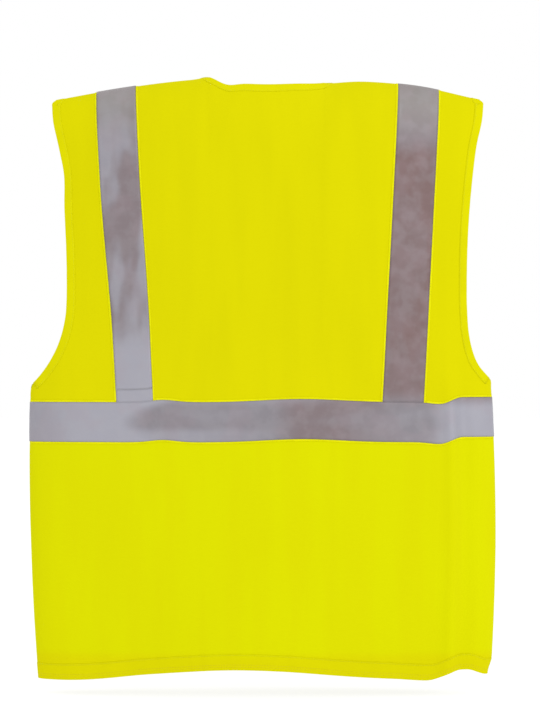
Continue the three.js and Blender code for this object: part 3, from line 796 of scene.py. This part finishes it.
def make_tape():
    """Retroreflective tape: bluish silver with painted grey reflection and shade round the middle of the
    waist and up the braces, and painted brown shade on the right brace, in soft patches, with a fine
    emboss."""
    f = Finish("Reflective tape")
    x, _, z = f.parts(f.space())
    waist_shade_noise = f.noise((7, 9, 26), detail=1.2).ramp(0.36, 0.62)
    brace_shade_noise = f.noise((30, 12, 9.5), rough=0.45, turned=(0, -0.22, 0)).ramp(0.40, 0.60)
    at_brace = z.ramp(TAPE_TOP - 0.008, TAPE_TOP + 0.020)
    right = (x * -1).ramp(0.06, 0.12)
    above_foot = z.ramp(-0.352, -0.300)

    # Painted grey reflection and shade on the braces: patchy on the left one above its foot, nearly even
    # on the right one
    shade_left = (0.38 + brace_shade_noise * 0.54) * above_foot * (1 - z.ramp(-0.05, -0.02) * 0.5)
    shade_brace = shade_left + (1 - shade_left) * right * (1 - z.ramp(-0.10, -0.03) * 0.35)

    # Painted grey reflection and shade on the waist: from a rounded start on the left to the tuck, less
    # along the lower edge, and a little at the left end
    lower_edge = 1 - z.ramp(TAPE_LOW + 0.010, TAPE_LOW + 0.022)
    rise = z - (TAPE_LOW + TAPE_TOP) / 2
    tongue = x + rise * rise * 60
    shade_waist = (0.76 + waist_shade_noise * 0.24) * (1 - tongue.ramp(0.145, 0.185)) * x.ramp(-0.240, -0.205)
    shade_waist = shade_waist * (1 - lower_edge * x.ramp(-0.06, 0.10) * 0.62)
    shade_waist = shade_waist + x.ramp(0.225, 0.290) * 0.35
    painted_shade = shade_waist + (shade_brace - shade_waist) * at_brace

    # Painted brown shade: strong on the right brace, slight on the left one and right of the middle
    brown_shade_brace = (0.06 + brace_shade_noise * 0.42) * (1 - right) * above_foot
    top_right = right * (1 - z.ramp(-0.105, -0.075) * 0.66)
    brown_shade_brace = brown_shade_brace + top_right * (brace_shade_noise * 0.2 + 0.80)
    right_of_middle = x.ramp(-0.185, -0.110) * (1 - x.ramp(-0.050, -0.005))
    brown_shade_waist = right_of_middle * (waist_shade_noise * 0.25 + 0.30)
    brown_shade = brown_shade_waist + (brown_shade_brace - brown_shade_waist) * at_brace

    silver = f.mix(painted_shade, colour(0.345, 0.340, 0.390), colour(0.234, 0.217, 0.240))
    silver = f.mix(brown_shade, silver, colour(0.192, 0.127, 0.125))
    # Greyer towards the tops of the braces, over the shoulders: painted shade, like the grey above.
    silver = f.mix(z.ramp(-0.095, -0.020) * 0.8, silver, colour(0.275, 0.255, 0.243))
    mottle = f.noise(60.0).ramp(0.38, 0.64)
    silver = f.mix(mottle * 0.12, silver, colour(0.40, 0.39, 0.42))
    tint = f.noise(34.0).ramp(0.44, 0.62)
    silver = f.mix(tint * 0.12, silver, colour(0.36, 0.27, 0.30))

    u, v, _ = f.parts(f.space(cloth=True))
    diamonds = ((u + v) * 2600).sine() * ((u - v) * 2600).sine()
    threads = (u * 5200).sine() * 0.5 + (v * 5200).sine() * 0.5
    normal = f.relief(diamonds * 0.6 + threads * 0.4, depth=0.00008, strength=0.30)
    rough = f.noise(45.0, detail=3.0) * 0.22 + 0.42
    f.set(Base_Color=silver, Roughness=rough, Metallic=0.25, Specular_IOR_Level=0.25, Normal=normal)
    return f.material


def make_trim(name, light, dark, spots, ribs, rough, glow):
    """A woven trim: two close yellows in spots, so many a metre, and its ribs, given as a function
    of the two lengths of cloth."""
    f = Finish(name)
    base = f.mix(f.noise(spots, detail=3.0).ramp(0.3, 0.7), colour(*light), colour(*dark))
    u, v, _ = f.parts(f.space(cloth=True))
    normal = f.relief(ribs(u, v), depth=0.0001, strength=0.35)
    f.set(Base_Color=base, Roughness=rough, Specular_IOR_Level=0.02, Normal=normal)
    f.set(Emission_Color=base, Emission_Strength=glow)
    return f.material


def crossed_cords(u, v):
    """Cords both ways, for the bright margin that the tape is stitched through."""
    return (u * 3600).sine() * 0.5 + (v * 3600).sine() * 0.5


def slanting_ribs(u, v):
    """Ribs on the bias, for the bindings."""
    return ((u * 0.5 + v) * 4200).sine()


def make_pile(name, dark, light, scale):
    """Hook or loop tape: a close field of fine tufts."""
    f = Finish(name)
    tufts = f.noise(scale, detail=3.0, rough=0.7)
    base = f.mix(tufts.ramp(0.35, 0.65), colour(*dark), colour(*light))
    normal = f.relief(tufts, depth=0.0006, strength=0.7)
    f.set(Base_Color=base, Roughness=0.9, Specular_IOR_Level=0.1, Normal=normal)
    return f.material


def make_label():
    """Soft white satin label with a fine upright grain."""
    f = Finish("Label satin")
    grain = f.noise((900, 900, 60))
    shade = f.noise(40.0).ramp(0.35, 0.65)
    base = f.mix(shade * 0.5, colour(0.80, 0.80, 0.79), colour(0.72, 0.72, 0.71))
    normal = f.relief(grain, depth=0.00008, strength=0.5)
    f.set(Base_Color=base, Roughness=0.5, Sheen_Weight=0.2, Normal=normal)
    return f.material


def make_thread(name, dark, light):
    """Twisted sewing thread, in fine specks of light and dark."""
    f = Finish(name)
    twist = f.noise(900.0).ramp(0.35, 0.65)
    base = f.mix(twist, colour(*dark), colour(*light))
    normal = f.relief(twist, depth=0.0001, strength=0.5)
    f.set(Base_Color=base, Roughness=0.55, Specular_IOR_Level=0.3, Normal=normal)
    return f.material


cloth = make_cloth()
tape_silver = make_tape()
edging = make_trim("Tape edging", (0.735, 0.715, 0.002), (0.665, 0.645, 0.001),
                   spots=60.0, ribs=crossed_cords, rough=0.8, glow=0.06)
bias = make_trim("Binding", (0.640, 0.610, 0.001), (0.615, 0.585, 0.001),
                 spots=34.0, ribs=slanting_ribs, rough=0.82, glow=0.05)
hook = make_pile("Hook tape", (0.40, 0.42, 0.004), (0.62, 0.64, 0.01), 900.0)
loop = make_pile("Loop tape", (0.52, 0.52, 0.006), (0.78, 0.78, 0.03), 600.0)
satin = make_label()
yellow_thread = make_thread("Yellow thread", (0.64, 0.62, 0.002), (0.76, 0.73, 0.01))
orange_thread = make_thread("Orange thread", (0.62, 0.46, 0.006), (0.72, 0.57, 0.012))
# Dark grey thread for the row at the left brace's foot: real stitching, its darkness partly painted shadow
# of the step there.
grey_thread = make_thread("Grey thread", (0.16, 0.15, 0.14), (0.30, 0.29, 0.28))


# ---- Pieces ----


# Both fronts: the sign of their x, the wearer's side, and which of them laps over the other
FRONTS = ((1, "left", True), (-1, "right", False))


def side_of(sign):
    """The wearer's side that a sign of x stands for."""
    return "left" if sign > 0 else "right"


def fit(piece, slot, *nodes, body="vest_body", swings=0):
    """Hides the CAD nodes that a piece stands for and hangs the piece on the empty of the body it rides
    on.
    The slot is not used. A piece that swings with the left (+1) or right (-1) front is neither hung
    nor bent: its place is only baked into its mesh."""
    if nodes:
        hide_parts(*nodes)
    if swings:
        across = np.array([swings * HINGE_AXIS[2], 0, -HINGE_AXIS[0]])
        side_of(swings) + "_front"
        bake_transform(piece)
    else:
        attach(piece, body)
    return piece


def declare(piece, path, *with_pieces):
    """Finds the points of a panel's grid on the smooth skin, and does nothing more with them."""
    p = bare(*path)


def hem_path(sign):
    """The hem's edge across the back (0), or along the left (+1) or right (-1) front."""
    if sign == 0:
        return contour(BACK, HEM_EDGE, -HEM_HALF, HEM_HALF, count=200)
    return contour(FRONT, HEM_EDGE, sign * (BAND - LAP), sign * HEM_HALF, count=110)


def armhole_path(sign):
    """The armhole's edge, from the underarm over the shoulder and down again."""
    deep = drop_for(outer_x, ARMHOLE_FOOT)
    return trail(mirrored(sign, armhole_x), -deep, deep, count=230)


def opening_path(sign, start, above_hem):
    """A front's opening edge, from a drop near the neck point to a height above the hem."""
    low = drop_for(opening_x, HEM_Z + above_hem)
    return trail(mirrored(sign, opening_x), start, -low, count=240)


back_path = grid(BACK, top_edge, HEM_EDGE, mirrored(-1, outer_x), outer_x, rows=226, columns=172)
back_cloth = fit(slab("back_cloth", back_path, CLOTH, cloth), "cloth", "back_panel")
front_cloths = {}
for sign, side, lap in FRONTS:
    path = grid(FRONT, ridge, HEM_EDGE, *ordered(sign, opening_x, outer_x), rows=226, columns=92)
    front = slab(side + "_front_cloth", path, CLOTH, cloth, lap)
    fit(front, "cloth", f"front_{side}_side_panel", f"front_{side}_flap", swings=sign)
    front_cloths[sign] = (front, path)

# Reflective tape: round the waist, and up over each shoulder. On the back the left brace ends
# above the waist tape and laps over a short tab, where two lengths of tape meet.
waist = grid(BACK, TAPE_TOP, TAPE_LOW, mirrored(-1, half_width), half_width, rows=18, columns=200)
fit(slab("back_waist_tape_silver", waist, TAPE, tape_silver), "reflective_tape", "back_waist_tape")
for sign, side, lap in FRONTS:
    spans = ordered(sign, past_binding, half_width)
    path = grid(FRONT, TAPE_TOP, TAPE_LOW, *spans, rows=18, columns=110)
    tape = slab(side + "_front_waist_tape_silver", path, TAPE, tape_silver, lap)
    nodes = (f"front_{side}_waist_tape_side", f"front_{side}_waist_tape_end")
    fit(tape, "reflective_tape", *nodes, swings=sign)
    for half, word in ((BACK, "back"), (FRONT, "front")):
        lapped = half == BACK and sign > 0
        foot, layer = (TAPE_TOP + LAP_RISE, BRACE_OVER) if lapped else (TAPE_TOP, TAPE)
        path = grid(half, ridge, foot, *ordered(sign, brace_edge, brace_outer), rows=130, columns=18)
        brace = slab(f"{word}_{side}_brace_silver", path, layer, tape_silver, lap and half == FRONT)
        fit(brace, "reflective_tape", f"{word}_{side}_brace")

# The turned hem, in one run across the back and one along each front
back_hem = binding("back_turned_hem", hem_path(0), HEM_WIDTH, -1, cloth)
fit(back_hem, "cloth", "back_hem")
for sign, side, lap in FRONTS:
    hem = binding(side + "_front_turned_hem", hem_path(sign), HEM_WIDTH, sign, cloth, lap)
    fit(hem, "cloth", f"front_{side}_hem_side", f"front_{side}_hem_end", swings=sign)

# Bindings: back neckline, armholes, and each front edge from the neck point to the hem
neck_path = contour(BACK, 0.0, -NECK_HALF, NECK_HALF, count=60, z_of_x=top_edge)
fit(binding("neckline_binding", neck_path, BAND, 1, bias), "binding", "neck_binding")
for sign, side, lap in FRONTS:
    hole = binding(side + "_armhole_tape", armhole_path(sign), BAND, sign, bias)
    fit(hole, "binding", side + "_armhole_binding")
    edge_path = opening_path(sign, start=0.0, above_hem=0.001)
    edge = binding(side + "_front_edge_tape", edge_path, BAND, sign, bias, lap)
    fit(edge, "binding", f"front_{side}_edge_binding", swings=sign)

# ---- Edgings, stitches, seams, closure and label ----


def tape_edges(sign):
    """Paths along the edges of the tapes on the back (0) or on one front, each with the side that
    its edging lies on: +1 for the left of the path, seen from outside. That is down from a path
    across the back and up from one across a front, and -x of a brace behind, +x of one in front."""
    half = FRONT if sign else BACK
    inner, outer = float(brace_edge(TAPE_TOP)) - EDGING, float(brace_outer(TAPE_TOP)) + EDGING
    rim = float(half_width(TAPE_TOP)) - NEAR
    if sign:
        start = float(past_binding(TAPE_TOP))
        above, below = [(start, inner), (outer, rim)], [(start, rim)]
    else:
        above, below = [(-rim, -outer), (-inner, inner), (outer, rim)], [(-rim, rim)]
    paths = []
    for z, spans, toward in ((TAPE_TOP, above, -half), (TAPE_LOW, below, half)):
        for first, last in spans:
            ends = sorted((sign * first, sign * last)) if sign else (first, last)
            count = 16 + int(abs(last - first) / EDGE_STEP)
            paths.append((contour(half, z, *ends, count), toward))
    for s in ((sign,) if sign else (1, -1)):
        for line, away in ((brace_edge, -1), (brace_outer, 1)):
            foot = half * drop_for(line, TAPE_TOP)
            path = trail(mirrored(s, line), half * PAST_RIDGE, foot, count=110)
            paths.append((path, away * s * -half))
    return paths


for sign in (0, 1, -1):
    word = side_of(sign) + "_front" if sign else "back"
    lap, inward = sign > 0, sign or -1
    edges = tape_edges(sign)
    strips = [strip(path, NEAR / 2 * toward, EDGING * toward, EDGING_LAYER, lap) for path, toward in edges]
    fit(joined(word + "_tape_edging", edging, strips), "cloth", swings=sign)
    rows = [row_beside(path, EDGING_ROW * toward, EDGING_LAYER[1], TAPE_STITCH, lap)
            for path, toward in edges]
    hem_line = hem_path(sign)
    top_row = inward * (HEM_WIDTH - HEM_INSET)
    rows.append(row_beside(hem_line, top_row, BAND_OUT[1], TAPE_STITCH, lap))
    edge_line = opening_path(sign, start=-0.05, above_hem=0.003) if sign else neck_path
    band_row = (sign or 1) * (BAND - ROW_INSET)
    rows.append(row_beside(edge_line, band_row, BAND_OUT[1], BAND_STITCH, lap))
    fit(joined(word + "_yellow_stitches", yellow_thread, rows), "binding", swings=sign)
    rows = [row_beside(hem_line, inward * rise, BAND_OUT[1], HEM_STITCH, lap) for rise in HEM_ROWS]
    fit(joined(word + "_hem_stitches", orange_thread, rows), "binding", swings=sign)

# The tab under the left brace's foot, and the grey row that holds the foot down. The row is real
# stitching, but its dark grey is partly painted shadow, standing for the shadow line at the brace's step.
tab_top = TAPE_TOP + LAP_RISE + LAP_UNDER
tab_path = grid(BACK, tab_top, TAPE_TOP, brace_edge, brace_outer, rows=8, columns=18)
fit(slab("back_left_brace_lap", tab_path, TAPE, tape_silver), "reflective_tape")
lap_ends = float(brace_edge(TAPE_TOP)), float(brace_outer(TAPE_TOP))
lap_line = contour(BACK, TAPE_TOP + LAP_RISE + SEAM_INSET, *lap_ends, count=24)
lap_row = stitches(lap_line, BRACE_OVER[1], LAP_STITCH)
fit(joined("back_left_brace_lap_stitches", grey_thread, [lap_row]), "reflective_tape")

for sign, side, _ in FRONTS:
    row = row_beside(armhole_path(sign), sign * (BAND - ROW_INSET), BAND_OUT[1], BAND_STITCH)
    fit(joined(side + "_armhole_stitches", yellow_thread, [row]), "binding")

    # The side seam and the shoulder seam, each with both allowances laid towards the back
    top, foot = drop_for(half_width, UNDERARM - 0.002), drop_for(half_width, HEM_TOP)
    side_line = trail(mirrored(sign, half_width), top, foot, count=110)
    shoulder_turn = turn_at(sign * np.linspace(*SHOULDER_SEAM, 60), -0.02)
    shoulder_line = (shoulder_turn, np.full_like(shoulder_turn, 0.002))
    for word, line in (("side", side_line), ("shoulder", shoulder_line)):
        seam = strip(line, sign * SEAM_GAP, sign * ALLOWANCE, SEAM_LAYER)
        seam = joined(f"{side}_{word}_seam_allowance", cloth, [seam])
        fit(seam, "cloth", f"{side}_{word}_seam")

    # Overlocked together: slanting thread along the edge, on both faces of the side seam
    edge = sign * (ALLOWANCE - SEAM_INSET)
    under, over = SEAM_LAYER
    overlock = ((side_line, under, 1), (side_line, over, -1), (shoulder_line, under, 1))
    rows = [row_beside(line, edge, off, OVERLOCK_STITCH, slant=way * OVERLOCK_SLANT)
            for line, off, way in overlock]
    fit(joined(side + "_overlock", yellow_thread, rows), "binding")


def upright_row(x, low, high, off, size, lap, slant=0.0, thick=THREAD):
    """A row of stitches straight down a front at x."""
    outline = upright(x)
    line = trail(outline, -drop_for(outline, high), -drop_for(outline, low), count=20)
    return stitches(line, off, size, lap, slant, thick)


# Hook and loop closure: hooks behind the left front, loops on the face of the right one. Each
# patch has a box of stitches and rows of pile that lean one way and the other by turns.
closure = ((1, "hook", hook, HOOK_LAYER, HOOK_LAYER[0]), (-1, "loop", loop, LOOP_LAYER, LOOP_LAYER[1]))
for sign, kind, fibre, layer, face in closure:
    body, lap = side_of(sign) + "_front", sign > 0
    for level in ("upper", "middle", "lower"):
        node = f"{kind}_patch_{level}"
        low, high = (float(corner[2]) for corner in box(node))
        path = grid(FRONT, high, low, upright(-PATCH_HALF), upright(PATCH_HALF), rows=26, columns=12)
        patch = slab(f"{kind}_tape_{level}", path, layer, fibre, lap)
        fit(patch, kind + "_tape", node, body=body)

        out, foot, top = PATCH_HALF - ROW_INSET, low + ROW_INSET, high - ROW_INSET
        rows = [upright_row(x, foot, top, face, BOX_STITCH, lap) for x in (-out, out)]
        lines = [contour(FRONT, z, -out, out, count=12) for z in (top, foot)]
        rows += [stitches(line, face, BOX_STITCH, lap) for line in lines]
        fit(joined(f"{kind}_stitches_{level}", yellow_thread, rows), "binding", body=body)

        out, foot, top = PATCH_HALF - PILE_INSET, low + PILE_INSET, high - PILE_INSET
        rows = [upright_row(x, foot, top, face, PILE_STITCH, lap, PILE_SLANT * (-1) ** k, PILE_THICK)
                for k, x in enumerate(np.linspace(-out, out, PILE_ROWS))]
        fit(joined(f"{kind}_pile_{level}", fibre, rows), kind + "_tape", body=body)

# The care label: blank satin, sewn in at the neck, its foot curling forward a little
label_low, label_high = box("care_label")
u, v = np.meshgrid(np.linspace(0, 1, 24), np.linspace(0, 1, 40))
x = label_low[0] + (label_high[0] - label_low[0]) * u
z = label_high[2] + (label_low[2] - label_high[2]) * v
middle = (label_low[1] + label_high[1]) / 2
y = middle - LABEL_CURL * v**2.2 + LABEL_WAVE * np.sin(u * 5.0 + 0.8) * v
p = np.stack([x, y, z], -1)
n = np.broadcast_to(np.array([0.0, -1.0, 0.0]), p.shape)
label = piece_of("care_label_satin", satin, *layer_of(p, n, LABEL_LAYER))
fit(label, "label", "care_label", body="label")

declare(back_cloth, back_path, back_hem)
for sign in (1, -1):
    declare(*front_cloths[sign])

# ---- Room, light and camera ----

FLOOR_Z = HEM_Z - 0.022
FLOOR_HALF = 14.0
MIDDLE = np.array([0, 0, -0.4])


def area_light(name, at, size, power):
    """A round lamp aimed at the middle of the vest."""
    light = bpy.data.lights.new(name, "AREA")
    light.shape = "DISK"
    light.size = size
    light.energy = power
    lamp = bpy.data.objects.new(name, light)
    bpy.context.scene.collection.objects.link(lamp)
    lamp.location = at
    lamp.rotation_euler = Vector(MIDDLE - np.array(at)).to_track_quat("-Z", "Y").to_euler()


corners = np.array([(-1, -1, 0), (1, -1, 0), (1, 1, 0), (-1, 1, 0)]) * FLOOR_HALF + (0, 0, FLOOR_Z)
paper = Finish("White floor")
paper_tone = paper.mix(paper.noise(3.0), colour(0.20, 0.20, 0.20), colour(0.22, 0.22, 0.22))
paper.set(Base_Color=paper_tone, Roughness=0.9, Specular_IOR_Level=0.0)
paper.set(Emission_Color=colour(1, 1, 1), Emission_Strength=0.86)
floor = piece_of("floor", paper.material, corners, np.array([[0, 1, 2, 3]]))

scene = bpy.context.scene
scene.world = bpy.data.worlds.new("Studio")
scene.world.use_nodes = True
sky = scene.world.node_tree.nodes["Background"].inputs
sky["Color"].default_value = (1, 1, 1, 1)
sky["Strength"].default_value = 1.0
scene.view_settings.view_transform = "Standard"
scene.view_settings.look = "None"
area_light("Key", at=(-1.9, 2.4, 1.3), size=1.2, power=26)
area_light("Fill", at=(1.6, -2.4, 1.2), size=1.6, power=16)

camera = bpy.data.objects.new("Camera", bpy.data.cameras.new("Camera"))
scene.collection.objects.link(camera)
camera.location = (-0.0083, 3.0, -0.358)
camera.rotation_euler = (math.pi / 2, 0, math.pi)
camera.data.sensor_width = 36
camera.data.lens = 117.6
camera.data.clip_end = 60
scene.camera = camera
